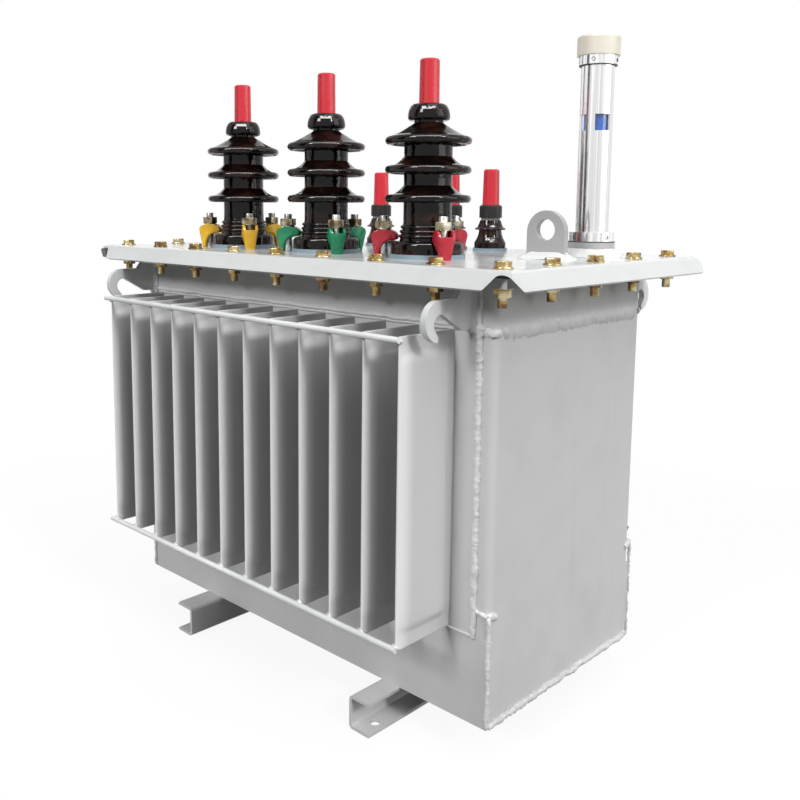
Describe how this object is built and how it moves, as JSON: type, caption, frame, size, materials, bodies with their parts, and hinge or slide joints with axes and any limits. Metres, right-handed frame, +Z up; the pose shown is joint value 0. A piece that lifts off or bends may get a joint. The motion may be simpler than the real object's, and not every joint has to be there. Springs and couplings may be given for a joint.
{
  "type": "power transformer",
  "caption": "Sealed oil-filled power transformer: finned steel tank on channel feet, bolted lid with dark porcelain bushings, lifting hooks and lugs, and an upright oil gauge.",
  "frame": {"origin": "on the ground, under the middle of the tank", "axes": "+Z up, +X along the tank towards the end with the oil gauge, -Y towards the side with the high-voltage bushings"},
  "size_m": [0.9172, 0.5984, 0.978],
  "materials": {
    "tank_paint": "satin light grey paint over hand-welded steel, a little grime",
    "lid_paint": "gloss pale grey paint",
    "gasket_rubber": "matte blue-grey rubber",
    "dark_porcelain": "high-gloss brown-black glaze",
    "red_cap": "soft gloss red plastic",
    "yellow_clamp": "yellow paint on cast metal",
    "green_clamp": "green paint on cast metal",
    "red_clamp": "red paint on cast metal",
    "polished_aluminium": "turned and polished",
    "clear_sleeve": "clear",
    "blue_float": "gloss blue plastic",
    "cream_plastic": "matte cream plastic",
    "zinc_bolt": "yellow-passivated zinc on bolts and nuts"
  },
  "bodies": {
    "root": {"left_foot": "tank_paint", "right_foot": "tank_paint", "tank_floor": "tank_paint", "left_end_plate": "tank_paint", "right_end_plate": "tank_paint", "front_sill": "tank_paint", "back_sill": "tank_paint", "front_wall": "tank_paint", "back_wall": "tank_paint", "front_fins": "tank_paint", "back_fins": "tank_paint", "front_rods": "tank_paint", "back_rods": "tank_paint", "collar": "tank_paint", "rim_flange": "tank_paint", "front_left_hook": "tank_paint", "front_right_hook": "tank_paint", "back_left_hook": "tank_paint", "back_right_hook": "tank_paint", "lid_gasket": "gasket_rubber", "lid": "lid_paint", "left_lug": "tank_paint", "right_lug": "tank_paint", "hv_gaskets": "gasket_rubber", "hv_bushing_left": "dark_porcelain", "hv_bushing_middle": "dark_porcelain", "hv_bushing_right": "dark_porcelain", "hv_caps": "red_cap", "hv_clamps_left": "yellow_clamp", "hv_clamps_middle": "green_clamp", "hv_clamps_right": "red_clamp", "lv_gaskets": "gasket_rubber", "lv_bushing_1": "dark_porcelain", "lv_bushing_2": "dark_porcelain", "lv_bushing_3": "dark_porcelain", "lv_bushing_4": "dark_porcelain", "lv_caps": "red_cap", "gauge_neck": "tank_paint", "gauge_ring": "polished_aluminium", "gauge_tube": "polished_aluminium", "gauge_sleeve": "clear_sleeve", "gauge_float": "blue_float", "gauge_collar": "polished_aluminium", "gauge_cap": "cream_plastic"}
  },
  "joints": []
}
